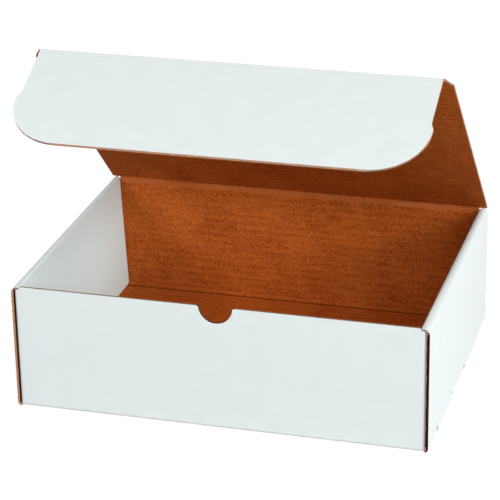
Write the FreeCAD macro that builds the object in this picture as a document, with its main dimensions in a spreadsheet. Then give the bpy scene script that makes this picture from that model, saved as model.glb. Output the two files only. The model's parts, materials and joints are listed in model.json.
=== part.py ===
import FreeCAD, Part
import math
import os
import Sketcher

# Roll-end mailer box of corrugated board, modelled in millimetres.
# X runs along the front, Y from front to back and Z up from the underside of the bottom.
# The origin lies under the middle of the bottom panel.

os.makedirs("parts", exist_ok=True)
doc = FreeCAD.newDocument("MailerBox")

# Driving dimensions
SIZES = [
    ("outer_width", 326.0, "tray across the outer side walls"),
    ("outer_depth", 241.5, "outer side walls from raw edge to raw edge"),
    ("tray_height", 101.5, "underside to the top of the roll-over strips"),
    ("board_thickness", 2.2, "board away from its creases"),
    ("crushed_thickness", 1.4, "board in the roll-over strip, crushed by two creases"),
    ("layer_gap", 0.15, "air between two layers of board"),
    ("fold_radius", 3.0, "outside of a crease between two panels"),
    ("shoulder_radius", 4.8, "outside of the roll-over at the outer wall"),
    ("inner_shoulder_radius", 1.6, "outside of the roll-over at the inner wall"),
    ("strip_hollow_radius", 2.2, "underside of the roll-over at the outer wall"),
    ("panel_recess", 0.3, "front and back faces behind the raw edges of the side walls"),
    ("corner_flap_length", 98.0, "corner flap from the panel face to its free edge"),
    ("corner_flap_drop", 4.0, "corner flap below the top of the tray"),
    ("corner_flap_lift", 0.8, "corner flap above the bottom panel"),
    ("corner_flap_rounding", 12.0, "free corners of a corner flap"),
    ("inner_wall_lean", 4.4, "inner wall further in at its foot than at its top"),
    ("inner_wall_lift", 0.2, "foot of the inner wall above the bottom panel"),
    ("inner_wall_back_gap", 1.0, "inner wall to the back panel"),
    ("inner_wall_corner", 0.8, "rounding of the lower corners of the inner wall"),
    ("strip_corner_width", 2.1, "rear corner cut off the roll-over strip, across the strip"),
    ("strip_corner_length", 5.8, "the same corner, along the strip"),
    ("bead_reach", 5.5, "bead that a fold raises in the inner liner, out over the bottom"),
    ("bead_rise", 1.8, "the same bead, up the panel"),
    ("bead_gap", 0.5, "bead to the inner wall"),
    ("tab_length", 57.0, "locking tab along the wall"),
    ("tab_spacing", 109.0, "middle of one tab to the middle of the other"),
    ("tab_lift", 0.2, "end of a tab above the underside of the bottom"),
    ("slot_clearance", 0.5, "slot beyond its tab"),
    ("relief_size", 2.0, "square relief cut at each end of a slot's lip"),
    ("notch_radius", 13.3, "thumb notch in the front panel"),
    ("notch_corner", 1.5, "rounding where the notch meets the top edge"),
    ("hinge_gap", 0.15, "air at a crease that moves"),
    ("lid_side_inset", 0.5, "lid inside the outer side walls, each side"),
    ("lid_corner_width", 5.2, "front corner cut off the lid, along the front"),
    ("lid_corner_length", 9.0, "the same corner, along the side"),
    ("lid_angle", 44.5, "lid above the horizontal, in degrees"),
    ("flap_side_clearance", 0.3, "tuck flap to the roll-over strips, each side"),
    ("flap_front_clearance", 0.2, "tucked flap to the front panel"),
    ("flap_back_clearance", 0.5, "tucked flap to the inner walls"),
    ("flap_foot_clearance", 3.55, "tucked flap above the bottom panel"),
    ("ear_ramp", 6.0, "length over which an ear widens"),
    ("ear_side", 2.0, "straight side of an ear, from its ramp to the flap's free corner"),
    ("ear_clearance", 0.3, "ear to the corner flap, each side"),
    ("ear_rounding", 2.0, "rounding at the two ends of an ear's ramp"),
    ("flap_corner", 43.0, "large free corners of the flap"),
    ("flap_angle", 110.5, "inside angle between the lid and the flap, in degrees"),
    ("flute_pitch", 6.4, "one flute of the corrugated medium to the next"),
    ("liner_thickness", 0.35, "each facing of the board"),
    ("medium_thickness", 0.25, "fluted medium"),
    ("flute_margin", 1.0, "solid edge beyond the last flute"),
    ("open_flute_depth", 2.0, "flute that a raw edge of a side wall has cut wide open"),
    ("shallow_flute_depth", 0.4, "flute that a raw edge of a side wall has only just cut open"),
]

sheet = doc.addObject("Spreadsheet::Sheet", "Sizes")
for row, (alias, value, meaning) in enumerate(SIZES, start=1):
    sheet.set(f"A{row}", meaning)
    sheet.set(f"B{row}", str(value))
    sheet.setAlias(f"B{row}", alias)
doc.recompute()

# Lengths worked out from the driving dimensions, as expressions for the features
BOARD = "Sizes.board_thickness"
GAP = "Sizes.layer_gap"
HEIGHT = "Sizes.tray_height"
FOLD = "Sizes.fold_radius"
SHOULDER = "Sizes.shoulder_radius"
CRUSHED = "Sizes.crushed_thickness"
HOLLOW = "Sizes.strip_hollow_radius"
HALF_WIDTH = "(Sizes.outer_width / 2)"
HALF_DEPTH = "(Sizes.outer_depth / 2)"
PANEL_FACE = f"({HALF_DEPTH} - Sizes.panel_recess)"
PANEL_INSIDE = f"({PANEL_FACE} - {BOARD})"
SLEEVE_END = f"({HALF_WIDTH} - {BOARD} - {GAP})"
FLAP_INSIDE = f"({SLEEVE_END} - {BOARD})"
INNER_FACE = f"({FLAP_INSIDE} - {GAP} - {BOARD})"
FOOT_FACE = f"({INNER_FACE} - Sizes.inner_wall_lean)"
STRIP_UNDERSIDE = f"({HEIGHT} - {CRUSHED})"
INNER_FOLD_END = f"({HEIGHT} - Sizes.inner_shoulder_radius - {GAP})"
FOOT = f"({BOARD} + Sizes.inner_wall_lift)"
INNER_FRONT = (f"({PANEL_INSIDE} - Sizes.flap_front_clearance - {BOARD}"
               " - Sizes.flap_back_clearance)")
INNER_BACK = f"({PANEL_INSIDE} - Sizes.inner_wall_back_gap)"
SLOPE = f"(Sizes.inner_wall_lean / ({INNER_FOLD_END} - {FOOT}))"
TAB_FACE = f"({FOOT_FACE} - ({FOOT} - Sizes.tab_lift) * {SLOPE})"
TAB_MIDDLE = "(Sizes.tab_spacing / 2)"
HALF_SLOT = "(Sizes.tab_length / 2 + Sizes.slot_clearance)"
HINGE_Y = f"({PANEL_FACE} - {BOARD} / 2)"
HINGE_Z = f"({HEIGHT} + {BOARD} / 2 + Sizes.hinge_gap)"
CREASE_TO_CREASE = f"({HINGE_Y} + {PANEL_INSIDE} - Sizes.flap_front_clearance - {BOARD} / 2)"
LID_END = f"({CREASE_TO_CREASE} - {BOARD} / 2 - Sizes.hinge_gap)"
LID_HALF_WIDTH = f"({HALF_WIDTH} - Sizes.lid_side_inset)"
FLAP_HALF_WIDTH = f"({INNER_FACE} - Sizes.flap_side_clearance)"
EAR_HALF_WIDTH = f"({FLAP_INSIDE} - Sizes.ear_clearance)"
FLAP_LENGTH = f"({HINGE_Z} - {BOARD} - Sizes.flap_foot_clearance)"
EAR_END = f"({FLAP_LENGTH} - Sizes.flap_corner - Sizes.ear_side)"
EAR_START = f"({EAR_END} - Sizes.ear_ramp)"
FLAP_TURN = "(180 - Sizes.flap_angle - Sizes.lid_angle)"

# Board section, measured from the middle of its thickness
CAVITY = f"({BOARD} - 2 * Sizes.liner_thickness)"
ARCH_STEP = f"({CAVITY} - 2 * Sizes.medium_thickness)"
ARCH_RADIUS = (f"(((Sizes.flute_pitch / 2)^2 + {ARCH_STEP}^2 - Sizes.medium_thickness^2)"
               f" / (4 * ({ARCH_STEP} + Sizes.medium_thickness)))")
ARCH_CENTRE = f"({ARCH_RADIUS} - {CAVITY} / 2 + Sizes.medium_thickness)"
ARCH_REACH = f"sqrt({ARCH_RADIUS}^2 - ({ARCH_CENTRE} - {CAVITY} / 2)^2)"
NOSE_RADIUS = f"({BOARD} / 2 - {GAP} / 2)"

# Directions, and how far an edge may be from the one that is looked for
ACROSS = FreeCAD.Vector(1, 0, 0)
ANGLE_SLACK = 0.001
POSITION_SLACK = 0.01


def number(expression):
    """Value of an expression of the sheet, as a plain number."""
    result = sheet.evalExpression(expression)
    return float(getattr(result, "Value", result))


def new_body(label):
    body = doc.addObject("PartDesign::Body", label)
    body.Label = label
    return body


def origin_feature(body, role):
    return next(item for item in body.Origin.OriginFeatures if item.Role == role)


def new_sketch(body, name, role, offset=None):
    """Sketch on one of the body's origin planes, moved along the plane's normal."""
    sketch = body.newObject("Sketcher::SketchObject", name)
    sketch.AttachmentSupport = [(origin_feature(body, role), "")]
    sketch.MapMode = "FlatFace"
    if offset:
        sketch.setExpression("AttachmentOffset.Base.z", offset)
    return sketch


def bind(sketch, constraint, expression):
    """Add a dimension to the sketch and tie it to an expression of the sheet."""
    index = sketch.addConstraint(constraint)
    sketch.setExpression(f"Constraints[{index}]", expression)


def place_point(sketch, curve, end, across, up):
    bind(sketch, Sketcher.Constraint("DistanceX", curve, end, number(across)), across)
    bind(sketch, Sketcher.Constraint("DistanceY", curve, end, number(up)), up)


def corner_arc(middle, radius, first, last):
    """Short arc about middle from first to last, and whether it runs anticlockwise."""
    anticlockwise = (first - middle).cross(last - middle).z > 0
    if not anticlockwise:
        first, last = last, first
    start = math.atan2(first.y - middle.y, first.x - middle.x)
    stop = math.atan2(last.y - middle.y, last.x - middle.x)
    if stop < start:
        stop += 2 * math.pi
    circle = Part.Circle(middle, FreeCAD.Vector(0, 0, 1), radius)
    return Part.ArcOfCircle(circle, start, stop), anticlockwise


def outline(sketch, corners):
    """Closed outline through corners (across, up) or rounded corners (across, up, radius)."""
    count = len(corners)
    points = [FreeCAD.Vector(number(corner[0]), number(corner[1]), 0) for corner in corners]
    arriving_ends = []
    leaving_starts = []
    middles = []
    for index, corner in enumerate(corners):
        before = (points[index - 1] - points[index]).normalize()
        after = (points[(index + 1) % count] - points[index]).normalize()
        reach = 0.0
        middle = None
        if len(corner) == 3:
            half_turn = before.getAngle(after) / 2
            reach = number(corner[2]) / math.tan(half_turn)
            middle = points[index] + (before + after).normalize() * (reach / math.cos(half_turn))
        arriving_ends.append(points[index] + before * reach)
        leaving_starts.append(points[index] + after * reach)
        middles.append(middle)
    lines = []
    for index in range(count):
        side = Part.LineSegment(leaving_starts[index], arriving_ends[(index + 1) % count])
        lines.append(sketch.addGeometry(side))
    for index, corner in enumerate(corners):
        arriving = lines[index - 1]
        leaving = lines[index]
        if middles[index] is None:
            sketch.addConstraint(Sketcher.Constraint("Coincident", arriving, 2, leaving, 1))
            place_point(sketch, leaving, 1, corner[0], corner[1])
            continue
        radius = number(corner[2])
        shape, anticlockwise = corner_arc(
            middles[index], radius, arriving_ends[index], leaving_starts[index]
        )
        arc = sketch.addGeometry(shape)
        first, last = (1, 2) if anticlockwise else (2, 1)
        sketch.addConstraint(Sketcher.Constraint("Tangent", arriving, 2, arc, first))
        sketch.addConstraint(Sketcher.Constraint("Tangent", arc, last, leaving, 1))
        bind(sketch, Sketcher.Constraint("Radius", arc, radius), corner[2])
        guide = sketch.addGeometry(Part.Point(points[index]), True)
        place_point(sketch, guide, 1, corner[0], corner[1])
        sketch.addConstraint(Sketcher.Constraint("PointOnObject", guide, 1, arriving))
        sketch.addConstraint(Sketcher.Constraint("PointOnObject", guide, 1, leaving))


def circle(sketch, across, up, radius):
    centre = FreeCAD.Vector(number(across), number(up), 0)
    ring = sketch.addGeometry(Part.Circle(centre, FreeCAD.Vector(0, 0, 1), number(radius)))
    place_point(sketch, ring, 3, across, up)
    bind(sketch, Sketcher.Constraint("Radius", ring, number(radius)), radius)


def pad(body, name, sketch, length, midplane=False):
    feature = body.newObject("PartDesign::Pad", name)
    feature.Profile = sketch
    feature.Midplane = midplane
    feature.setExpression("Length", length)
    sketch.Visibility = False
    return feature


def pocket_through(body, name, sketch):
    feature = body.newObject("PartDesign::Pocket", name)
    feature.Profile = sketch
    feature.Type = "ThroughAll"
    feature.Midplane = True
    sketch.Visibility = False
    return feature


def pocket(body, name, sketch, length, reversed_direction=False):
    feature = body.newObject("PartDesign::Pocket", name)
    feature.Profile = sketch
    feature.Reversed = reversed_direction
    feature.setExpression("Length", length)
    sketch.Visibility = False
    return feature


def round_edges(body, name, radius, chosen):
    """Fillet on the edges of the body so far whose middle the test chosen accepts."""
    doc.recompute()
    base = body.Tip
    names = []
    for index, edge in enumerate(base.Shape.Edges, start=1):
        if chosen(edge):
            names.append(f"Edge{index}")
    fillet = body.newObject("PartDesign::Fillet", name)
    fillet.Base = (base, names)
    fillet.setExpression("Radius", radius)
    return fillet


def is_line_along(edge, direction):
    """Whether an edge is straight and runs along a direction."""
    if edge.Curve.TypeId != "Part::GeomLine":
        return False
    run = edge.Vertexes[-1].Point - edge.Vertexes[0].Point
    return run.cross(direction).Length < ANGLE_SLACK * run.Length


def near(value, target):
    return abs(value - target) < POSITION_SLACK


def arch(sketch, across, flat, middle):
    """One passage of the board: flat along a facing and closed by the arched medium."""
    radius = number(ARCH_RADIUS)
    centre = FreeCAD.Vector(number(across), number(middle), 0)
    rise = number(flat) - centre.y
    reach = math.sqrt(radius ** 2 - rise ** 2)
    left = centre + FreeCAD.Vector(-reach, rise, 0)
    right = centre + FreeCAD.Vector(reach, rise, 0)
    base = sketch.addGeometry(Part.LineSegment(left, right))
    shape, anticlockwise = corner_arc(centre, radius, right, left)
    curve = sketch.addGeometry(shape)
    right_end, left_end = (1, 2) if anticlockwise else (2, 1)
    sketch.addConstraint(Sketcher.Constraint("Coincident", base, 1, curve, left_end))
    sketch.addConstraint(Sketcher.Constraint("Coincident", base, 2, curve, right_end))
    sketch.addConstraint(Sketcher.Constraint("Horizontal", base))
    bind(sketch, Sketcher.Constraint("DistanceY", base, 1, number(flat)), flat)
    bind(sketch, Sketcher.Constraint("Radius", curve, radius), ARCH_RADIUS)
    place_point(sketch, curve, 3, across, middle)


def add_flutes(body, sheet_end):
    """Passages of the corrugated board along X, a row against each of its two facings."""
    label = body.Label
    sketch = new_sketch(body, f"{label}_flute_outline", "YZ_Plane")
    arch(sketch, "-Sizes.flute_pitch", f"-{CAVITY} / 2", f"-{ARCH_CENTRE}")
    arch(sketch, "-1.5 * Sizes.flute_pitch", f"{CAVITY} / 2", ARCH_CENTRE)
    flute = pocket_through(body, f"{label}_flute", sketch)
    row = body.newObject("PartDesign::LinearPattern", f"{label}_flutes")
    row.Originals = [flute]
    row.Direction = (origin_feature(body, "Y_Axis"), [""])
    row.Reversed = True
    count = (f"floor(({sheet_end} - Sizes.flute_margin - {ARCH_REACH}) / Sizes.flute_pitch"
             " - 0.5)")
    row.setExpression("Occurrences", count)
    row.setExpression("Length", f"({count} - 1) * Sizes.flute_pitch")
    body.Tip = row
    return row


def open_raw_edge(body, name, side, end, depth):
    """Groove in the upright raw edge of a side wall, between its two facings."""
    sketch = new_sketch(body, f"{name}Outline", "XZ_Plane", f"{end}{HALF_DEPTH}")
    inner = f"{side}({HALF_WIDTH} - {BOARD} + Sizes.liner_thickness)"
    outer = f"{side}({HALF_WIDTH} - Sizes.liner_thickness)"
    top = f"{HEIGHT} - {SHOULDER}"
    outline(sketch, [(inner, FOLD), (outer, FOLD), (outer, top), (inner, top)])
    pocket(body, name, sketch, depth, reversed_direction=end == "-")


def build_tray():
    body = new_body("tray")

    # Front panel, bottom and back panel, one strip of board bent up at both ends
    section = new_sketch(body, "PanelSection", "YZ_Plane")
    inner_fold = f"({FOLD} - {BOARD})"
    outline(section, [
        (f"-{PANEL_FACE}", HEIGHT),
        (f"-{PANEL_FACE}", "0", FOLD),
        (PANEL_FACE, "0", FOLD),
        (PANEL_FACE, HEIGHT),
        (PANEL_INSIDE, HEIGHT),
        (PANEL_INSIDE, BOARD, inner_fold),
        (f"-{PANEL_INSIDE}", BOARD, inner_fold),
        (f"-{PANEL_INSIDE}", HEIGHT),
    ])
    pad(body, "Panels", section, f"2 * {SLEEVE_END}", midplane=True)

    # Beads of the inner liner, which the two folds at the bottom push up between the inner walls
    bead_section = new_sketch(body, "BeadSection", "YZ_Plane")
    for side in ("-", ""):
        outline(bead_section, [
            (f"{side}({PANEL_INSIDE} - Sizes.bead_reach)", BOARD),
            (f"{side}({PANEL_INSIDE} - Sizes.bead_reach * 3 / 4)", f"{BOARD} + Sizes.bead_rise / 2"),
            (f"{side}{PANEL_INSIDE}", f"{BOARD} + Sizes.bead_rise"),
            (f"{side}({PANEL_INSIDE} + {BOARD} / 2)", f"{BOARD} / 2"),
        ])
    pad(body, "FoldBeads", bead_section, f"2 * ({FOOT_FACE} - Sizes.bead_gap)", midplane=True)

    # Upper corners of the two panels, cut away to pass under the roll-over strips
    room = new_sketch(body, "StripRoomOutline", "XZ_Plane")
    outline(room, [
        (f"{INNER_FACE} - {GAP}", f"{HEIGHT} + {BOARD}"),
        (f"{INNER_FACE} - {GAP}", f"{STRIP_UNDERSIDE} - {GAP}"),
        (SLEEVE_END, f"{STRIP_UNDERSIDE} - {GAP}", f"{HOLLOW} - {GAP}"),
        (SLEEVE_END, f"{HEIGHT} - {SHOULDER} - {GAP}"),
        (HALF_WIDTH, f"{HEIGHT} - {SHOULDER} - {GAP}"),
        (HALF_WIDTH, f"{HEIGHT} + {BOARD}"),
    ])
    strip_room = pocket_through(body, "StripRoom", room)

    # Corner flaps, folded back from the panels' ends to lie against the outer walls
    flap_sketch = new_sketch(body, "CornerFlapOutline", "YZ_Plane", FLAP_INSIDE)
    flap_top = f"{HEIGHT} - Sizes.corner_flap_drop"
    flap_bottom = f"{BOARD} + Sizes.corner_flap_lift"
    free_edge = f"({PANEL_FACE} - Sizes.corner_flap_length)"
    outline(flap_sketch, [
        (f"-{PANEL_FACE} + {BOARD} / 2", flap_bottom),
        (f"-{free_edge}", flap_bottom, "Sizes.corner_flap_rounding"),
        (f"-{free_edge}", flap_top, "Sizes.corner_flap_rounding"),
        (f"-{PANEL_FACE} + {BOARD} / 2", flap_top),
    ])
    outline(flap_sketch, [
        (f"{PANEL_FACE} - {BOARD} / 2", flap_bottom),
        (f"{PANEL_FACE} - {BOARD} / 2", flap_top),
        (free_edge, flap_top, "Sizes.corner_flap_rounding"),
        (free_edge, flap_bottom, "Sizes.corner_flap_rounding"),
    ])
    corner_flaps = pad(body, "CornerFlaps", flap_sketch, BOARD)

    # Upright folds between the front and back panels and their corner flaps
    fold_sketch = new_sketch(body, "UprightFoldOutline", "XY_Plane")
    for side in ("-", ""):
        outline(fold_sketch, [
            (f"{SLEEVE_END} - {FOLD} - {GAP}", f"{side}{PANEL_FACE}"),
            (SLEEVE_END, f"{side}{PANEL_FACE}", FOLD),
            (SLEEVE_END, f"{side}({PANEL_FACE} - {FOLD} - {GAP})"),
            (f"{SLEEVE_END} + {GAP}", f"{side}({PANEL_FACE} - {FOLD} - {GAP})"),
            (f"{SLEEVE_END} + {GAP}", f"{side}({PANEL_FACE} + {GAP})"),
            (f"{SLEEVE_END} - {FOLD} - {GAP}", f"{side}({PANEL_FACE} + {GAP})"),
        ])
    upright_folds = pocket_through(body, "UprightFolds", fold_sketch)

    # Outer wall, from its crease at the bottom over the top to the start of the inner wall
    wall_sketch = new_sketch(body, "OuterWallSection", "XZ_Plane")
    outline(wall_sketch, [
        (f"{HALF_WIDTH} - {FOLD} - {GAP}", "0"),
        (HALF_WIDTH, "0", FOLD),
        (HALF_WIDTH, HEIGHT, SHOULDER),
        (INNER_FACE, HEIGHT, "Sizes.inner_shoulder_radius"),
        (INNER_FACE, INNER_FOLD_END),
        (f"{INNER_FACE} + {BOARD}", INNER_FOLD_END),
        (f"{INNER_FACE} + {BOARD}", STRIP_UNDERSIDE),
        (f"{HALF_WIDTH} - {BOARD}", STRIP_UNDERSIDE, HOLLOW),
        (f"{HALF_WIDTH} - {BOARD}", BOARD, inner_fold),
        (f"{HALF_WIDTH} - {FOLD} - {GAP}", BOARD),
    ])
    outer_wall = pad(body, "OuterWall", wall_sketch, "Sizes.outer_depth", midplane=True)

    # Inner wall, leaning in towards its foot, between the tuck flap's room and the back panel
    inner_sketch = new_sketch(body, "InnerWallSection", "XZ_Plane", f"-{INNER_BACK}")
    outline(inner_sketch, [
        (INNER_FACE, INNER_FOLD_END),
        (FOOT_FACE, FOOT),
        (f"{FOOT_FACE} + {BOARD}", FOOT),
        (f"{INNER_FACE} + {BOARD}", INNER_FOLD_END),
    ])
    inner_wall = pad(body, "InnerWall", inner_sketch, f"{INNER_BACK} + {INNER_FRONT}")

    # Rear inner corner of the roll-over strip, cut off at a slant
    corner_sketch = new_sketch(body, "StripCornerOutline", "XY_Plane", INNER_FOLD_END)
    outline(corner_sketch, [
        (INNER_FACE, f"{HALF_DEPTH} - Sizes.strip_corner_length"),
        (f"{INNER_FACE} + Sizes.strip_corner_width", HALF_DEPTH),
        (f"{INNER_FACE} + Sizes.strip_corner_width", f"{HALF_DEPTH} + {BOARD}"),
        (f"{INNER_FACE} - {BOARD}", f"{HALF_DEPTH} + {BOARD}"),
        (f"{INNER_FACE} - {BOARD}", f"{HALF_DEPTH} - Sizes.strip_corner_length"),
    ])
    strip_corner = pocket(body, "StripCorner", corner_sketch,
                          f"{HEIGHT} - {INNER_FOLD_END} + {BOARD}", reversed_direction=True)

    # Slots in the bottom for the locking tabs, open up to the outer wall
    slot_sketch = new_sketch(body, "SlotOutline", "XY_Plane")
    for place in ("", "-"):
        middle = f"{place}{TAB_MIDDLE}"
        outline(slot_sketch, [
            (f"{TAB_FACE} - Sizes.slot_clearance", f"{middle} - {HALF_SLOT}"),
            (f"{HALF_WIDTH} - {BOARD}", f"{middle} - {HALF_SLOT}"),
            (f"{HALF_WIDTH} - {BOARD}", f"{middle} + {HALF_SLOT}"),
            (f"{TAB_FACE} - Sizes.slot_clearance", f"{middle} + {HALF_SLOT}"),
        ])
    slots = pocket(body, "Slots", slot_sketch, f"{BOARD} + Sizes.inner_wall_lift / 2",
                   reversed_direction=True)

    # Square lip of the outer wall beside each slot, where the board isn't folded
    lip_sketch = new_sketch(body, "LipOutline", "XY_Plane")
    for place in ("", "-"):
        middle = f"{place}{TAB_MIDDLE}"
        outline(lip_sketch, [
            (f"{HALF_WIDTH} - {BOARD}", f"{middle} - {HALF_SLOT}"),
            (HALF_WIDTH, f"{middle} - {HALF_SLOT}"),
            (HALF_WIDTH, f"{middle} + {HALF_SLOT}"),
            (f"{HALF_WIDTH} - {BOARD}", f"{middle} + {HALF_SLOT}"),
        ])
    lips = pad(body, "Lips", lip_sketch, FOLD)

    # Locking tabs, the inner wall carried on down into the slots
    tab_features = []
    for place, name in (("", "Back"), ("-", "Front")):
        tab_sketch = new_sketch(
            body, f"{name}TabSection", "XZ_Plane", f"-({place}{TAB_MIDDLE} + Sizes.tab_length / 2)"
        )
        outline(tab_sketch, [
            (FOOT_FACE, FOOT),
            (TAB_FACE, "Sizes.tab_lift"),
            (f"{TAB_FACE} + {BOARD}", "Sizes.tab_lift"),
            (f"{FOOT_FACE} + {BOARD}", FOOT),
        ])
        tab_features.append(pad(body, f"{name}Tab", tab_sketch, "Sizes.tab_length"))

    # Relief cuts through the outer wall at both ends of each lip
    relief_sketch = new_sketch(body, "ReliefOutline", "YZ_Plane", f"{HALF_WIDTH} - {FOLD}")
    half_relief = "Sizes.relief_size / 2"
    for middle in (TAB_MIDDLE, f"-{TAB_MIDDLE}"):
        for end in ("-", "+"):
            cut = f"{middle} {end} {HALF_SLOT}"
            outline(relief_sketch, [
                (f"{cut} - {half_relief}", f"{FOLD} - {half_relief}"),
                (f"{cut} + {half_relief}", f"{FOLD} - {half_relief}"),
                (f"{cut} + {half_relief}", f"{FOLD} + {half_relief}"),
                (f"{cut} - {half_relief}", f"{FOLD} + {half_relief}"),
            ])
    reliefs = pocket(body, "Reliefs", relief_sketch, f"2 * {FOLD}", reversed_direction=True)

    # The same on the left
    mirror = body.newObject("PartDesign::Mirrored", "LeftSide")
    mirror.Originals = [
        strip_room, corner_flaps, upright_folds, outer_wall, inner_wall, strip_corner, slots,
        lips, *tab_features, reliefs
    ]
    mirror.MirrorPlane = (origin_feature(body, "YZ_Plane"), [""])
    body.Tip = mirror

    foot = number(FOOT)
    wall_ends = (number(INNER_BACK), -number(INNER_FRONT))
    round_edges(body, "InnerWallCorners", "Sizes.inner_wall_corner", lambda edge: (
        is_line_along(edge, ACROSS)
        and near(edge.CenterOfMass.z, foot)
        and any(near(edge.CenterOfMass.y, end) for end in wall_ends)
    ))

    # Flutes that the raw edges of the side walls have cut open lengthwise
    open_raw_edge(body, "FrontRightFlute", "", "", "Sizes.open_flute_depth")
    open_raw_edge(body, "BackLeftFlute", "-", "-", "Sizes.open_flute_depth")
    open_raw_edge(body, "FrontLeftFlute", "-", "", "Sizes.shallow_flute_depth")
    open_raw_edge(body, "BackRightFlute", "", "-", "Sizes.shallow_flute_depth")

    # Thumb notch in the middle of the front panel's upper edge
    notch_sketch = new_sketch(body, "NotchOutline", "XZ_Plane", PANEL_INSIDE)
    circle(notch_sketch, "0", HEIGHT, "Sizes.notch_radius")
    pocket(body, "ThumbNotch", notch_sketch, f"2 * {BOARD}", reversed_direction=True)

    notch_reach = number("Sizes.notch_radius")
    top = number(HEIGHT)
    round_edges(body, "NotchCorners", "Sizes.notch_corner", lambda edge: (
        near(abs(edge.CenterOfMass.x), notch_reach) and near(edge.CenterOfMass.z, top)
    ))
    return body


def build_lid():
    """Lid, modelled flat from its hinge axis towards the front, then raised to its angle."""
    body = new_body("lid")

    section = new_sketch(body, "LidSection", "YZ_Plane")
    outline(section, [
        (f"-{CREASE_TO_CREASE}", f"-{BOARD} / 2"),
        (f"{BOARD} / 2", f"-{BOARD} / 2", NOSE_RADIUS),
        (f"{BOARD} / 2", f"{BOARD} / 2", NOSE_RADIUS),
        (f"-{CREASE_TO_CREASE}", f"{BOARD} / 2"),
    ])
    pad(body, "LidSheet", section, f"2 * {LID_HALF_WIDTH}", midplane=True)

    # Room for the tuck flap between the two front corners, which reach on to the crease and
    # are cut off at a slant
    room = new_sketch(body, "FlapRoomOutline", "XY_Plane")
    outline(room, [
        (f"-{FLAP_HALF_WIDTH} - Sizes.flap_side_clearance", f"-{LID_END}"),
        (f"-{FLAP_HALF_WIDTH} - Sizes.flap_side_clearance", f"-{CREASE_TO_CREASE} - {BOARD}"),
        (f"{FLAP_HALF_WIDTH} + Sizes.flap_side_clearance", f"-{CREASE_TO_CREASE} - {BOARD}"),
        (f"{FLAP_HALF_WIDTH} + Sizes.flap_side_clearance", f"-{LID_END}"),
    ])
    for side in ("-", ""):
        outline(room, [
            (f"{side}({LID_HALF_WIDTH} - Sizes.lid_corner_width)", f"-{CREASE_TO_CREASE}"),
            (f"{side}{LID_HALF_WIDTH}", f"-{CREASE_TO_CREASE} + Sizes.lid_corner_length"),
            (f"{side}({LID_HALF_WIDTH} + {BOARD})", f"-{CREASE_TO_CREASE}"),
        ])
    pocket_through(body, "FlapRoom", room)
    add_flutes(body, LID_END)

    body.Placement = FreeCAD.Placement(FreeCAD.Vector(), FreeCAD.Rotation(-ACROSS, 1.0))
    body.setExpression("Placement.Rotation.Angle", "Sizes.lid_angle")
    body.setExpression("Placement.Base.y", HINGE_Y)
    body.setExpression("Placement.Base.z", HINGE_Z)
    return body


def build_tuck_flap():
    """Tuck flap with its two ears, modelled flat from its crease and then folded down."""
    body = new_body("tuck_flap")

    plan = new_sketch(body, "FlapOutline", "XY_Plane")
    outline(plan, [
        (f"-{FLAP_HALF_WIDTH}", "0"),
        (f"-{FLAP_HALF_WIDTH}", f"-{EAR_START}", "Sizes.ear_rounding"),
        (f"-{EAR_HALF_WIDTH}", f"-{EAR_END}", "Sizes.ear_rounding"),
        (f"-{EAR_HALF_WIDTH}", f"-{FLAP_LENGTH}", "Sizes.flap_corner"),
        (EAR_HALF_WIDTH, f"-{FLAP_LENGTH}", "Sizes.flap_corner"),
        (EAR_HALF_WIDTH, f"-{EAR_END}", "Sizes.ear_rounding"),
        (FLAP_HALF_WIDTH, f"-{EAR_START}", "Sizes.ear_rounding"),
        (FLAP_HALF_WIDTH, "0"),
    ])
    pad(body, "FlapSheet", plan, BOARD, midplane=True)

    # Rounded edge that turns on the crease
    nose = new_sketch(body, "FlapNoseSection", "YZ_Plane")
    outline(nose, [
        (f"-{BOARD}", f"-{BOARD} / 2"),
        (f"{BOARD} / 2", f"-{BOARD} / 2", NOSE_RADIUS),
        (f"{BOARD} / 2", f"{BOARD} / 2", NOSE_RADIUS),
        (f"-{BOARD}", f"{BOARD} / 2"),
    ])
    pad(body, "FlapNose", nose, f"2 * {FLAP_HALF_WIDTH}", midplane=True)
    add_flutes(body, FLAP_LENGTH)

    body.Placement = FreeCAD.Placement(FreeCAD.Vector(), FreeCAD.Rotation(ACROSS, 1.0))
    body.setExpression("Placement.Rotation.Angle", FLAP_TURN)
    body.setExpression("Placement.Base.y", f"{HINGE_Y} - {CREASE_TO_CREASE} * cos(Sizes.lid_angle)")
    body.setExpression("Placement.Base.z", f"{HINGE_Z} + {CREASE_TO_CREASE} * sin(Sizes.lid_angle)")
    return body


def check(items):
    """Stop on any object that failed, and on any sub-part that isn't one valid solid."""
    for item in doc.Objects:
        if "Invalid" in item.State or "Error" in item.State:
            raise RuntimeError(f"{item.Name} failed: {item.State}")
    for item in items:
        shape = item.Shape
        if shape.isNull() or not shape.isValid() or len(shape.Solids) != 1:
            raise RuntimeError(f"{item.Label} isn't one valid solid")


bodies = [build_tray(), build_lid(), build_tuck_flap()]
doc.recompute()
check(bodies)
for body in bodies:
    body.Shape.exportStep(f"parts/{body.Label}.step")
    print(f"{body.Label}: {body.Shape.Volume:.0f} cubic millimetres")
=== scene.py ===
import json
import math

import bmesh
import bpy
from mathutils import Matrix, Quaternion, Vector


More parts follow.
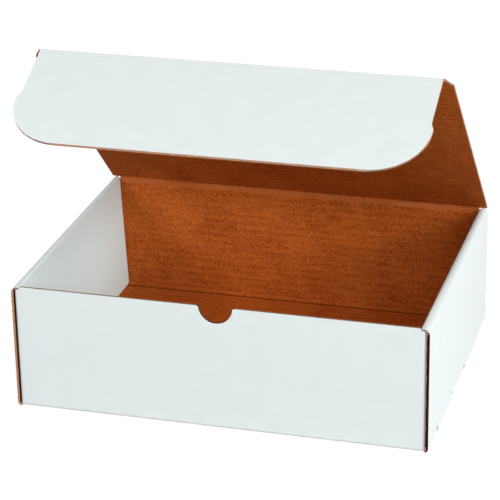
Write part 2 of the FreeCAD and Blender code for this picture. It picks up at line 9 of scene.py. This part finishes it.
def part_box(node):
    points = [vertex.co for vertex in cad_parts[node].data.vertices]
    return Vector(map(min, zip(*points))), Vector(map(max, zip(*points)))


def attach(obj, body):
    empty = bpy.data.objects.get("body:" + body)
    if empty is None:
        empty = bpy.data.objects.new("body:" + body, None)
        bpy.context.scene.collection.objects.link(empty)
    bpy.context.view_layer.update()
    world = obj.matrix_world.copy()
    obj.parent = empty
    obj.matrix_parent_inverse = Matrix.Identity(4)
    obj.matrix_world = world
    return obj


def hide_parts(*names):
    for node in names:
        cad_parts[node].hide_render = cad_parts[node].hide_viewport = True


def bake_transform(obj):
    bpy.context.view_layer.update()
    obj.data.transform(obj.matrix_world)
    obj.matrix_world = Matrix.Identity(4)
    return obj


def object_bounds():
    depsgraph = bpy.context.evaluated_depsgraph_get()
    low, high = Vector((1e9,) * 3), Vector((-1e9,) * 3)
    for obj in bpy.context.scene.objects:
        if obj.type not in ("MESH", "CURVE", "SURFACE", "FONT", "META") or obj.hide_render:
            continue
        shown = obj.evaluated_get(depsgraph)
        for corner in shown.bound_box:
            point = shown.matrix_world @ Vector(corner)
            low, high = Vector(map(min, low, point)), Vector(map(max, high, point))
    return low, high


# A roll-end mailer box of corrugated board: white outer liner, brown inner liner, raw tan edges.
# X runs along the front, Y from front to back, Z up. All lengths are in metres.

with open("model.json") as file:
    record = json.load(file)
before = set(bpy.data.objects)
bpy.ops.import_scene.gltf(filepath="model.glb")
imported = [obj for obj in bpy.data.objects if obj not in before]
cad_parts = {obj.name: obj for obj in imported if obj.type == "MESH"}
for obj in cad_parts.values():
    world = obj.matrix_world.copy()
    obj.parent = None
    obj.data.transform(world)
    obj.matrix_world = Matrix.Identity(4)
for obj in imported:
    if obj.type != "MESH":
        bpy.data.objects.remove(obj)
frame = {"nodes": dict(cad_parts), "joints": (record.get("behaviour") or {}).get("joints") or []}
solid_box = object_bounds()

MM = 0.001

# Board, and the teeth that the cutting rule leaves along its edges
BOARD = 2.2 * MM
LINER = 0.35 * MM
MEDIUM = 0.25 * MM
FLUTE_PITCH = 6.4 * MM
TOOTH_PITCH = 1.7 * MM

# Tray across: the inner face of an outer side wall, where the painted shade beside it starts, the
# notch, and where the cooler white painted on an inner wall against bounced light fades into its
# roll-over strip
WALL_INSIDE = 160.8 * MM
WALL_GAP = WALL_INSIDE - 0.3 * MM
NOTCH_REACH = 15 * MM
INNER_WALL_FADE = (156.2 * MM, 158.5 * MM)

# Tray from front to back, from its middle: the inner face of the front and back panels, where the
# gap beside it starts, where a side wall's end starts, and the groove beside a bead
PANEL_INSIDE = 118.25 * MM
PANEL_GAP = PANEL_INSIDE + BOARD / 4
WALL_END_START = 120.2 * MM
GROOVE = (111.85 * MM, 113.45 * MM)

# Tray upwards, from its underside: just above the bottom panel, the lowest edge that is pressed,
# the band under the lid's crease, and the inner side walls
BOTTOM_TOP = BOARD + 0.7 * MM
STRIP_FOOT = 98.6 * MM
CREASE_BAND = (97.3 * MM, 101.6 * MM)
INNER_WALL_HEIGHT = (1.1 * MM, 101.9 * MM)

# Creases at the hinges
HINGES = {joint["child"]: Vector(joint["pos_m"]) for joint in frame["joints"]}
CREASE_REACH = 3.0 * MM
CREASE_STEPS = 8
CREASE_INSIDE_RADIUS = 0.9 * MM
LID_CREASE_HALF_WIDTH = 155.8 * MM
FLAP_CREASE_HALF_WIDTH = 155.7 * MM
LINER_PROUD = 0.04 * MM

# Which way each panel runs from its hinge, and which way its white side faces
LID_RUN = (HINGES["tuck_flap"] - HINGES["lid"]).normalized()
LID_OUT = Vector((0, LID_RUN.z, -LID_RUN.y))
FLAP_ANGLE = math.radians(110.5)
FLAP_RUN = Quaternion((1, 0, 0), math.pi - FLAP_ANGLE) @ LID_RUN
FLAP_OUT = Vector((0, FLAP_RUN.z, -FLAP_RUN.y))
PANEL_RUN = Vector((0, 0, -1))
PANEL_OUT = Vector((0, 1, 0))

# Points that are one, and how faces are told apart: by the angle to a neighbour, or by how much
# of a face's normal lies along a direction
JOIN_DISTANCE = 0.001 * MM
SHARP = math.radians(32)
SAME_SIDE = math.radians(50)
FACING = 0.9
LEANING = 0.7
EDGE_ON = 0.5
SLANT = 0.1

# Colours, linear
WHITE_LINER = (0.785, 0.84, 0.84, 1)
WHITE_LINER_DULL = (0.765, 0.825, 0.82, 1)
# White painted on the inner side walls, cooler and lighter, against light bounced from the brown
# liner
WHITE_AGAINST_BOUNCE = (0.76, 0.94, 0.95, 1)
BROWN_LINER = (0.60, 0.150, 0.024, 1)
BROWN_LINER_DARK = (0.26, 0.048, 0.004, 1)
# Painted highlight under the lid's crease
BROWN_CREASE_HIGHLIGHT = (0.62, 0.20, 0.07, 1)
# Painted shade, dark brown, in grooves and in open flutes
SHADED_BROWN = (0.10, 0.016, 0.004, 1)
RAW_BOARD = (0.76, 0.46, 0.31, 1)
RAW_BOARD_DARK = (0.40, 0.17, 0.09, 1)
PRESSED_BOARD = (0.42, 0.27, 0.17, 1)
PRESSED_BOARD_DARK = (0.16, 0.075, 0.035, 1)
# Painted shade, near black, in gaps, flute mouths and open flutes
HOLLOW_SHADE = (0.035, 0.005, 0.002, 1)
# Painted shade on the liners of an opened flute
SHADED_LINER = (0.13, 0.025, 0.016, 1)
FLOOR_BOUNCE = (0.5, 0.5, 0.5, 1)
FLOOR_SEEN = (0.2, 0.2, 0.2, 1)
PURE_WHITE = (1, 1, 1, 1)

# Finishes: the values between which most of a noise lies, and depths below the white liner, where
# the whole board is 1
NOISE_LIMITS = (0.3, 0.7)
TIGHT_NOISE_LIMITS = (0.35, 0.65)
KRAFT_LIMITS = (0.22, 0.78)
CREASE_HIGHLIGHT_SHARE = (0.1, 0.5)
GROOVE_SHARE = 0.8
TOOTH_SHARE = 0.4
TOUCHED_DEPTH = (0.78, 0.88)
TORN_DEPTH = (0.75, 0.85)
TORN_NOISE_LIMITS = (0.56, 0.62)
PRESSED_LIP = 0.12
PRESSED_LIP_NOISE = 0.2

# Stage: a floor, an even world and four lamps, each with its name, place, watts and diameter
FLOOR_SIZE = 6.0
FLOOR_DROP = 0.2 * MM
FLOOR_GLOW = 0.9
WORLD_STRENGTH = 0.15
LAMP_AIM = Vector((0, 0, 0.12))
LAMPS = [
    ("right", (2.145, -0.697, 0.941), 44, 1.2),
    ("left", (-1.506, -1.264, 1.497), 27, 1.2),
    ("front", (0.761, -2.091, 1.019), 17, 1.2),
    ("back", (-0.2, 2.37, 0.42), 32, 1.0),
]

# Camera, from a fit of the box's corners to the photograph
CAMERA_AIM = Vector((0.02797, -0.12075, 0.15109))
CAMERA_TURN = math.radians(16.103)
CAMERA_RISE = math.radians(23.228)
CAMERA_ROLL = math.radians(-1.031)
CAMERA_DISTANCE = 1.59975
CAMERA_LENS = 157.17
SENSOR_WIDTH = 36.0


class Nodes:
    """A material's node tree, with short ways to add and join its nodes."""

    def __init__(self, name):
        self.material = bpy.data.materials.new(name)
        self.material.use_nodes = True
        self.tree = self.material.node_tree
        self.shader = self.tree.nodes["Principled BSDF"]
        self.coordinates = self.add("ShaderNodeTexCoord").outputs["Object"]
        self.x, self.y, self.z = self.split(self.coordinates)
        sheet_map = self.add("ShaderNodeUVMap").outputs["UV"]
        self.depth, self.across_flutes = self.split(sheet_map)[:2]

    def add(self, kind, **settings):
        node = self.tree.nodes.new(kind)
        for name, value in settings.items():
            setattr(node, name, value)
        return node

    def split(self, vector):
        node = self.add("ShaderNodeSeparateXYZ")
        self.join(vector, node.inputs[0])
        return node.outputs["X"], node.outputs["Y"], node.outputs["Z"]

    def join(self, source, target):
        self.tree.links.new(source, target)

    def fill(self, socket, value):
        if isinstance(value, bpy.types.NodeSocket):
            self.join(value, socket)
        else:
            socket.default_value = value

    def math(self, operation, first, second=0.0):
        node = self.add("ShaderNodeMath", operation=operation)
        self.fill(node.inputs[0], first)
        self.fill(node.inputs[1], second)
        return node.outputs[0]

    def plus(self, first, second):
        return self.math("ADD", first, second)

    def times(self, first, second):
        return self.math("MULTIPLY", first, second)

    def size(self, value):
        return self.math("ABSOLUTE", value)

    def above(self, value, limit):
        return self.math("GREATER_THAN", value, limit)

    def below(self, value, limit):
        return self.math("LESS_THAN", value, limit)

    def noise(self, scale, detail=2.0, stretch=None, roughness=0.5):
        """Noise on the piece's own coordinates; stretch scales its axes."""
        place = self.coordinates
        if stretch:
            mapping = self.add("ShaderNodeMapping")
            self.join(place, mapping.inputs["Vector"])
            mapping.inputs["Scale"].default_value = stretch
            place = mapping.outputs[0]
        node = self.add("ShaderNodeTexNoise")
        self.join(place, node.inputs["Vector"])
        node.inputs["Scale"].default_value = scale
        node.inputs["Detail"].default_value = detail
        node.inputs["Roughness"].default_value = roughness
        return node.outputs["Fac"]

    def spread(self, value, low, high, new_low=0.0, new_high=1.0):
        node = self.add("ShaderNodeMapRange")
        self.join(value, node.inputs["Value"])
        for name, number in (("From Min", low), ("From Max", high),
                             ("To Min", new_low), ("To Max", new_high)):
            node.inputs[name].default_value = number
        return node.outputs["Result"]

    def grain(self, scale, detail=2.0, stretch=None, roughness=0.5, limits=NOISE_LIMITS):
        """Noise spread over 0 to 1 between two limits."""
        return self.spread(self.noise(scale, detail, stretch, roughness), *limits)

    def mix(self, factor, first, second):
        node = self.add("ShaderNodeMix", data_type="RGBA")
        self.fill(node.inputs["Factor"], factor)
        self.fill(node.inputs[6], first)
        self.fill(node.inputs[7], second)
        return node.outputs[2]

    def wave(self, length, pitch, wobble=0.0):
        """Even waves along a length, -1 to 1."""
        phase = self.times(length, 2 * math.pi / pitch)
        return self.math("SINE", self.plus(phase, wobble))

    def washboard(self):
        """Waves of the flutes that show through a liner, -1 to 1, across the board."""
        wobble = self.times(self.noise(scale=25.0), 1.5)
        return self.wave(self.across_flutes, FLUTE_PITCH, wobble)

    def between(self, length, low, high, soft):
        """One where a length lies between low and high, zero elsewhere, with soft ends."""
        rising = self.spread(length, low - soft, low + soft)
        falling = self.spread(length, high - soft, high + soft, 1.0, 0.0)
        return self.times(rising, falling)

    def bump(self, height, distance, previous=None):
        node = self.add("ShaderNodeBump")
        self.join(height, node.inputs["Height"])
        node.inputs["Distance"].default_value = distance
        if previous:
            self.join(previous, node.inputs["Normal"])
        return node.outputs["Normal"]

    def finish(self, colour, normal, roughness, specular):
        self.join(colour, self.shader.inputs["Base Color"])
        self.join(normal, self.shader.inputs["Normal"])
        self.shader.inputs["Roughness"].default_value = roughness
        self.shader.inputs["Specular IOR Level"].default_value = specular
        return self.material


def white_liner():
    """Coated white paper with faint clouds, fine fibres and the flutes just showing."""
    nodes = Nodes("white_liner")
    clouds = nodes.grain(scale=60.0, detail=5.0, roughness=0.6)
    colour = nodes.mix(clouds, WHITE_LINER_DULL, WHITE_LINER)

    # Painted cooler and lighter on the inner side walls, against the pink light the brown liner
    # bounces
    inner = nodes.spread(nodes.size(nodes.x), *INNER_WALL_FADE, 1.0, 0.0)
    inner = nodes.times(inner, nodes.below(nodes.size(nodes.y), PANEL_INSIDE))
    inner = nodes.times(inner, nodes.between(nodes.z, *INNER_WALL_HEIGHT, soft=0.5 * MM))
    colour = nodes.mix(inner, colour, WHITE_AGAINST_BOUNCE)

    normal = nodes.bump(nodes.washboard(), distance=0.012 * MM)
    normal = nodes.bump(nodes.noise(scale=1400.0, detail=3.0), distance=0.02 * MM, previous=normal)
    return nodes.finish(colour, normal, roughness=0.5, specular=0.25)


def brown_liner():
    """Brown kraft paper: clouds, fibres along the flutes, a washboard with painted shade in its
    valleys, a painted highlight under the lid's crease and painted shade in grooves and gaps.
    """
    nodes = Nodes("brown_liner")
    clouds = nodes.grain(scale=28.0, detail=5.0, roughness=0.65)
    streaks = nodes.grain(scale=420.0, detail=3.0, stretch=(0.15, 1.0, 1.0))
    waves = nodes.spread(nodes.washboard(), -1.0, 1.0)
    mottle = nodes.grain(scale=380.0, detail=3.0, roughness=0.6)
    specks = nodes.grain(scale=950.0, detail=1.0, limits=TIGHT_NOISE_LIMITS)
    # Painted shade: the washboard's waves darken the kraft a little in the flutes' valleys
    shade = nodes.times(clouds, 0.20)
    for layer, share in ((streaks, 0.17), (waves, 0.08), (mottle, 0.25), (specks, 0.30)):
        shade = nodes.plus(shade, nodes.times(layer, share))
    colour = nodes.mix(nodes.spread(shade, *KRAFT_LIMITS), BROWN_LINER_DARK, BROWN_LINER)

    # Painted highlight in patches at the top of the back panel, where the lid's rounded crease
    # catches light
    crease_highlight = nodes.times(nodes.between(nodes.z, *CREASE_BAND, soft=0.8 * MM),
                         nodes.above(nodes.y, PANEL_INSIDE - MM))
    patchy = nodes.spread(nodes.noise(scale=45.0, detail=3.0, stretch=(0.4, 1.0, 1.0)),
                          *TIGHT_NOISE_LIMITS, *CREASE_HIGHLIGHT_SHARE)
    colour = nodes.mix(nodes.times(crease_highlight, patchy), colour, BROWN_CREASE_HIGHLIGHT)

    # Painted shade: darker in the groove at the foot of the bead beside a fold
    from_middle = nodes.size(nodes.y)
    groove = nodes.times(nodes.between(from_middle, *GROOVE, soft=0.5 * MM),
                         nodes.below(nodes.z, BOTTOM_TOP))
    colour = nodes.mix(nodes.times(groove, GROOVE_SHARE), colour, SHADED_BROWN)

    # Painted shade: dark in the gap between the end of a side wall and the panel beside it
    gap = nodes.times(nodes.above(nodes.size(nodes.x), WALL_GAP),
                      nodes.above(from_middle, PANEL_GAP))
    colour = nodes.mix(gap, colour, HOLLOW_SHADE)

    normal = nodes.bump(nodes.washboard(), distance=0.02 * MM)
    normal = nodes.bump(nodes.noise(scale=1100.0, detail=3.0), distance=0.04 * MM, previous=normal)
    return nodes.finish(colour, normal, roughness=0.75, specular=0.08)


def fibres(nodes, dark, light):
    """Colour of cut board: fibres, in the small teeth that the cutting rule leaves."""
    along_edge = nodes.plus(nodes.plus(nodes.x, nodes.y), nodes.z)
    teeth = nodes.spread(nodes.wave(along_edge, TOOTH_PITCH), -1.0, 1.0)
    fuzz = nodes.grain(scale=500.0, detail=4.0, roughness=0.7)
    shade = nodes.plus(nodes.times(teeth, TOOTH_SHARE), nodes.times(fuzz, 1 - TOOTH_SHARE))
    return nodes.mix(shade, dark, light)


def fibre_normal(nodes):
    return nodes.bump(nodes.noise(scale=1500.0, detail=4.0), distance=0.12 * MM)


def raw_edge():
    """Cut edge of the board: light tan fibres."""
    nodes = Nodes("raw_edge")
    colour = fibres(nodes, RAW_BOARD_DARK, RAW_BOARD)
    return nodes.finish(colour, fibre_normal(nodes), roughness=0.9, specular=0.1)


def cut_flutes():
    """Edge cut across the flutes: two facings and the wavy medium in dark fibres mixed with
    painted shade, and painted near-black shade in the mouths between them.
    """
    nodes = Nodes("cut_flutes")
    height = nodes.math("SUBTRACT", nodes.times(nodes.depth, BOARD), BOARD / 2)
    swing = BOARD / 2 - LINER - MEDIUM / 2
    medium = nodes.times(nodes.wave(nodes.across_flutes, FLUTE_PITCH), swing)
    from_medium = nodes.size(nodes.math("SUBTRACT", height, medium))
    between_liners = nodes.below(nodes.size(height), BOARD / 2 - LINER)
    mouth = nodes.times(between_liners, nodes.above(from_medium, MEDIUM))
    colour = nodes.mix(mouth, fibres(nodes, HOLLOW_SHADE, PRESSED_BOARD_DARK), HOLLOW_SHADE)
    return nodes.finish(colour, fibre_normal(nodes), roughness=0.9, specular=0.1)


def open_flute_shade():
    """Inside of a flute that a raw edge has cut open, painted near black and dark brown as the
    shade in it.
    """
    nodes = Nodes("open_flute_shade")
    colour = nodes.mix(nodes.grain(scale=500.0, detail=3.0), HOLLOW_SHADE, SHADED_BROWN)
    return nodes.finish(colour, fibre_normal(nodes), roughness=0.9, specular=0.05)


def wall_end():
    """End of an outer side wall, cut along a flute, with painted shade: dark right through, with
    tan spots, where the cut has opened the flute, and only at the inner liner where it has just
    touched it."""
    nodes = Nodes("wall_end")
    tan = fibres(nodes, RAW_BOARD_DARK, RAW_BOARD)
    touched = nodes.mix(nodes.spread(nodes.depth, *TOUCHED_DEPTH), tan, HOLLOW_SHADE)
    torn = nodes.times(nodes.spread(nodes.depth, *TORN_DEPTH),
                       nodes.grain(scale=420.0, limits=TORN_NOISE_LIMITS))
    opened = nodes.mix(torn, SHADED_LINER, RAW_BOARD)

    # The flute is open at the front right and the back left, where x and y differ in sign
    is_opened = nodes.below(nodes.times(nodes.x, nodes.y), 0.0)
    colour = nodes.mix(is_opened, touched, opened)
    return nodes.finish(colour, fibre_normal(nodes), roughness=0.9, specular=0.1)


def pressed_edge():
    """Edge over which the cutting rule has pressed the white liner, leaving a thin brown line."""
    nodes = Nodes("pressed_edge")
    core = fibres(nodes, PRESSED_BOARD_DARK, PRESSED_BOARD)
    lip = nodes.plus(nodes.times(nodes.noise(scale=300.0), PRESSED_LIP_NOISE), PRESSED_LIP)
    colour = nodes.mix(nodes.below(nodes.depth, lip), core, WHITE_LINER_DULL)
    return nodes.finish(colour, fibre_normal(nodes), roughness=0.85, specular=0.1)


WHITE, BROWN, RAW, CUT, HOLLOW, WALL_END, PRESSED = range(7)
FINISHES = [
    white_liner(),
    brown_liner(),
    raw_edge(),
    cut_flutes(),
    open_flute_shade(),
    wall_end(),
    pressed_edge(),
]


def piece_from(shape, name):
    """Mesh object made of a bmesh, with the finishes of the board."""
    mesh = bpy.data.meshes.new(name)
    shape.to_mesh(mesh)
    shape.free()
    for finish in FINISHES:
        mesh.materials.append(finish)
    piece = bpy.data.objects.new(name, mesh)
    bpy.context.collection.objects.link(piece)
    modifier = piece.modifiers.new("Flat panels", "WEIGHTED_NORMAL")
    modifier.keep_sharp = True
    return piece


def solid_copy(node):
    """The CAD solid's mesh, with its loose triangles joined."""
    shape = bmesh.new()
    shape.from_mesh(frame["nodes"][node].data)
    bmesh.ops.remove_doubles(shape, verts=shape.verts, dist=JOIN_DISTANCE)
    shape.faces.ensure_lookup_table()
    mark_sharp_edges(shape)
    return shape


def mark_sharp_edges(shape):
    for face in shape.faces:
        face.smooth = True
    for edge in shape.edges:
        edge.smooth = edge.is_manifold and edge.calc_face_angle(0) < SHARP


def same_side(seed):
    """All faces that are reached from seed without turning off the sheet's surface."""
    found = {seed}
    waiting = [seed]
    while waiting:
        face = waiting.pop()
        for edge in face.edges:
            if not edge.is_manifold or edge.calc_face_angle(0) > SAME_SIDE:
                continue
            for neighbour in edge.link_faces:
                if neighbour not in found:
                    found.add(neighbour)
                    waiting.append(neighbour)
    return found


def face_at(shape, place, direction):
    """The face that looks in a direction and lies nearest to a place."""
    looking = [face for face in shape.faces if face.normal.dot(direction) > FACING]
    return min(looking, key=lambda face: (face.calc_center_median() - Vector(place)).length)


def tray_depth(vertex):
    """Depth of a vertex of the tray's cut edges below the white liner, 0 to 1."""
    touched = {face.material_index for face in vertex.link_faces}
    if WHITE in touched:
        return 0.0
    if BROWN in touched:
        return 1.0
    return (WALL_INSIDE + BOARD - abs(vertex.co.x)) / BOARD


def tray_map(face, vertex):
    """Place of a tray's vertex on the sheet map, as a corner of a face."""
    place = vertex.co
    if face.material_index == CUT:
        # Counted from the brown liner, because the two facings look the same on this edge
        return (abs(place.y) - PANEL_INSIDE) / BOARD, place.z
    if face.material_index not in (WHITE, BROWN):
        return tray_depth(vertex), place.z
    if abs(face.normal.x) > LEANING:
        return place.z, place.y
    if abs(face.normal.y) > LEANING:
        return place.x, place.z
    return place.x, place.y


def panel_map(face, vertex, start, run, out):
    """Place of a vertex on the sheet map of a panel that runs from start."""
    from_start = vertex.co - start
    if face.material_index in (WHITE, BROWN):
        return vertex.co.x, from_start.dot(run)
    return 0.5 - from_start.dot(out) / BOARD, from_start.dot(run)


def lay_sheet_map(shape, placed, *panel):
    """UV map: on cut edges depth in the board, else metres along the flutes; then metres across
    them."""
    layer = shape.loops.layers.uv.new("sheet")
    for face in shape.faces:
        for loop in face.loops:
            loop[layer].uv = placed(face, loop.vert, *panel)


def cut_finish(face):
    """Finish of a cut edge of the tray, by where it lies."""
    place = face.calc_center_median()
    if abs(place.x) > WALL_INSIDE and MM < place.z and abs(place.y) < WALL_END_START:
        return HOLLOW
    if abs(place.x) < NOTCH_REACH and place.y < -PANEL_INSIDE:
        return CUT
    if abs(place.y) > PANEL_INSIDE and place.z > STRIP_FOOT:
        return PRESSED
    if abs(place.x) > WALL_INSIDE and abs(place.y) > PANEL_INSIDE:
        return WALL_END
    return RAW


def make_tray():
    """The tray. It is one sheet, so each liner is all that a face of the bottom leads to."""
    shape = solid_copy("tray")
    low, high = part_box("tray")
    middle = (low + high) / 2
    for face in shape.faces:
        face.material_index = cut_finish(face)
    down = face_at(shape, (middle.x, middle.y, low.z), Vector((0, 0, -1)))
    for face in same_side(down):
        face.material_index = WHITE
    up = face_at(shape, (middle.x, middle.y, low.z + BOARD), Vector((0, 0, 1)))
    for face in same_side(up):
        face.material_index = BROWN
    lay_sheet_map(shape, tray_map)
    piece = piece_from(shape, "tray_board")
    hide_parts("tray")
    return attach(piece, "tray")


def panel_finish(face, start, out):
    """Finish of a panel's face: a cut edge, a liner, or the board that lies between the liners."""
    if abs(face.normal.dot(out)) < EDGE_ON:
        slanted = SLANT < abs(face.normal.x) < 1 - SLANT
        return PRESSED if slanted else RAW
    height = (face.calc_center_median() - start).dot(out)
    if height > BOARD / 2 - LINER:
        return WHITE
    if height < LINER - BOARD / 2:
        return BROWN
    return RAW


def make_panel(node, out, run):
    """A flat panel that runs from its hinge and whose white side faces out."""
    shape = solid_copy(node)
    start = HINGES[node]
    for face in shape.faces:
        face.material_index = panel_finish(face, start, out)
    lay_sheet_map(shape, panel_map, start, run, out)
    piece = piece_from(shape, f"{node}_board")
    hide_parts(node)
    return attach(piece, node)


def arc(centre, first, last, radius, steps):
    """Points about centre from direction first to direction last, the short way round."""
    turn = first.rotation_difference(last)
    points = []
    for step in range(steps + 1):
        part = Quaternion().slerp(turn, step / steps)
        points.append(centre + (part @ first) * radius)
    return points


def make_crease(name, hinge, before, after, half_width):
    """Bent stretch of board between two panels, each given as its run away from the crease and
    its outward side."""
    half_board = BOARD / 2 + LINER_PROUD
    (run_before, out_before), (run_after, out_after) = before, after
    outside = [hinge + run_before * CREASE_REACH + out_before * half_board]
    outside += arc(hinge, out_before, out_after, half_board, CREASE_STEPS)
    outside += [hinge + run_after * CREASE_REACH + out_after * half_board]

    # The two inner faces meet in a corner, which is rounded off
    bend = out_before.angle(out_after)
    away = (out_before + out_after).normalized()
    fold = hinge - away * (half_board / math.cos(bend / 2))
    inset = (run_before + run_after).normalized()
    centre = fold + inset * (CREASE_INSIDE_RADIUS / math.cos(bend / 2))
    inside = [hinge + run_after * CREASE_REACH - out_after * half_board]
    inside += arc(centre, out_after, out_before, CREASE_INSIDE_RADIUS, CREASE_STEPS)
    inside += [hinge + run_before * CREASE_REACH - out_before * half_board]

    shape = bmesh.new()
    left, right = ([shape.verts.new((x, point.y, point.z)) for point in outside + inside]
                   for x in (-half_width, half_width))
    shape.faces.new(left)
    shape.faces.new(right)
    for corner in range(len(left)):
        shape.faces.new((left[corner - 1], left[corner], right[corner], right[corner - 1]))
    bmesh.ops.recalc_face_normals(shape, faces=shape.faces)
    mark_sharp_edges(shape)
    for face in shape.faces:
        if abs(face.normal.x) > FACING:
            face.material_index = RAW
        else:
            face.material_index = WHITE if face.normal.dot(away) > 0 else BROWN
    lay_sheet_map(shape, panel_map, hinge, run_after, out_after)
    piece = piece_from(shape, name)
    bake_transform(piece)
    return piece


def shader(tree, kind, **values):
    """A shader node's output, with its inputs set by name."""
    node = tree.nodes.new(kind)
    for name, value in values.items():
        node.inputs[name].default_value = value
    return node.outputs[0]


def seen_directly(tree):
    """One for rays from the camera and for mirrored and refracted ones, zero for the rest."""
    path = tree.nodes.new("ShaderNodeLightPath")
    total = path.outputs["Is Camera Ray"]
    for name in ("Is Glossy Ray", "Is Transmission Ray"):
        either = tree.nodes.new("ShaderNodeMath")
        either.operation = "MAXIMUM"
        tree.links.new(total, either.inputs[0])
        tree.links.new(path.outputs[name], either.inputs[1])
        total = either.outputs[0]
    return total


def show(tree, kind, lighting, seen):
    """Gives the box the light of one shader, and shows another where it is seen directly."""
    blend = tree.nodes.new("ShaderNodeMixShader")
    tree.links.new(seen_directly(tree), blend.inputs[0])
    tree.links.new(lighting, blend.inputs[1])
    tree.links.new(seen, blend.inputs[2])
    output = tree.nodes.new(kind)
    tree.links.new(blend.outputs[0], output.inputs["Surface"])


def make_floor():
    """White floor that keeps the box's shadow faintly."""
    mesh = bpy.data.meshes.new("floor")
    shape = bmesh.new()
    bmesh.ops.create_grid(shape, x_segments=1, y_segments=1, size=FLOOR_SIZE)
    shape.to_mesh(mesh)
    shape.free()
    floor = bpy.data.objects.new("floor", mesh)
    bpy.context.collection.objects.link(floor)
    floor.location.z = solid_box[0][2] - FLOOR_DROP

    material = bpy.data.materials.new("floor")
    material.use_nodes = True
    tree = material.node_tree
    tree.nodes.clear()
    seen = tree.nodes.new("ShaderNodeAddShader")
    glow = shader(tree, "ShaderNodeEmission", Color=PURE_WHITE, Strength=FLOOR_GLOW)
    tree.links.new(glow, seen.inputs[0])
    tree.links.new(shader(tree, "ShaderNodeBsdfDiffuse", Color=FLOOR_SEEN), seen.inputs[1])
    bounce = shader(tree, "ShaderNodeBsdfDiffuse", Color=FLOOR_BOUNCE)
    show(tree, "ShaderNodeOutputMaterial", bounce, seen.outputs[0])
    mesh.materials.append(material)


def make_world():
    """Even light from all round; the camera sees it as plain white."""
    world = bpy.data.worlds.new("studio")
    bpy.context.scene.world = world
    world.use_nodes = True
    tree = world.node_tree
    tree.nodes.clear()
    light = shader(tree, "ShaderNodeBackground", Color=PURE_WHITE, Strength=WORLD_STRENGTH)
    plain = shader(tree, "ShaderNodeBackground", Color=PURE_WHITE, Strength=1.0)
    show(tree, "ShaderNodeOutputWorld", light, plain)


def add_lamp(name, place, watts, diameter):
    """A round lamp that is aimed at the box."""
    data = bpy.data.lights.new(name, "AREA")
    data.shape = "DISK"
    data.size = diameter
    data.energy = watts
    lamp = bpy.data.objects.new(name, data)
    bpy.context.collection.objects.link(lamp)
    lamp.location = place
    direction = LAMP_AIM - Vector(place)
    lamp.rotation_euler = direction.to_track_quat("-Z", "Y").to_euler()


def add_camera():
    data = bpy.data.cameras.new("camera")
    data.lens = CAMERA_LENS
    data.sensor_width = SENSOR_WIDTH
    camera = bpy.data.objects.new("camera", data)
    bpy.context.collection.objects.link(camera)
    look = Vector((-math.sin(CAMERA_TURN) * math.cos(CAMERA_RISE),
                   math.cos(CAMERA_TURN) * math.cos(CAMERA_RISE),
                   -math.sin(CAMERA_RISE)))
    camera.location = CAMERA_AIM - look * CAMERA_DISTANCE
    level = look.to_track_quat("-Z", "Y")
    camera.rotation_euler = (level @ Quaternion((0, 0, 1), CAMERA_ROLL)).to_euler()
    bpy.context.scene.camera = camera


make_tray()
make_panel("lid", LID_OUT, LID_RUN)
make_panel("tuck_flap", FLAP_OUT, FLAP_RUN)
make_crease("lid_crease", HINGES["lid"], (PANEL_RUN, PANEL_OUT), (LID_RUN, LID_OUT),
            LID_CREASE_HALF_WIDTH)
make_crease("flap_crease", HINGES["tuck_flap"], (-LID_RUN, LID_OUT), (FLAP_RUN, FLAP_OUT),
            FLAP_CREASE_HALF_WIDTH)

make_floor()
make_world()
for lamp in LAMPS:
    add_lamp(*lamp)
add_camera()
bpy.context.scene.view_settings.view_transform = "Standard"
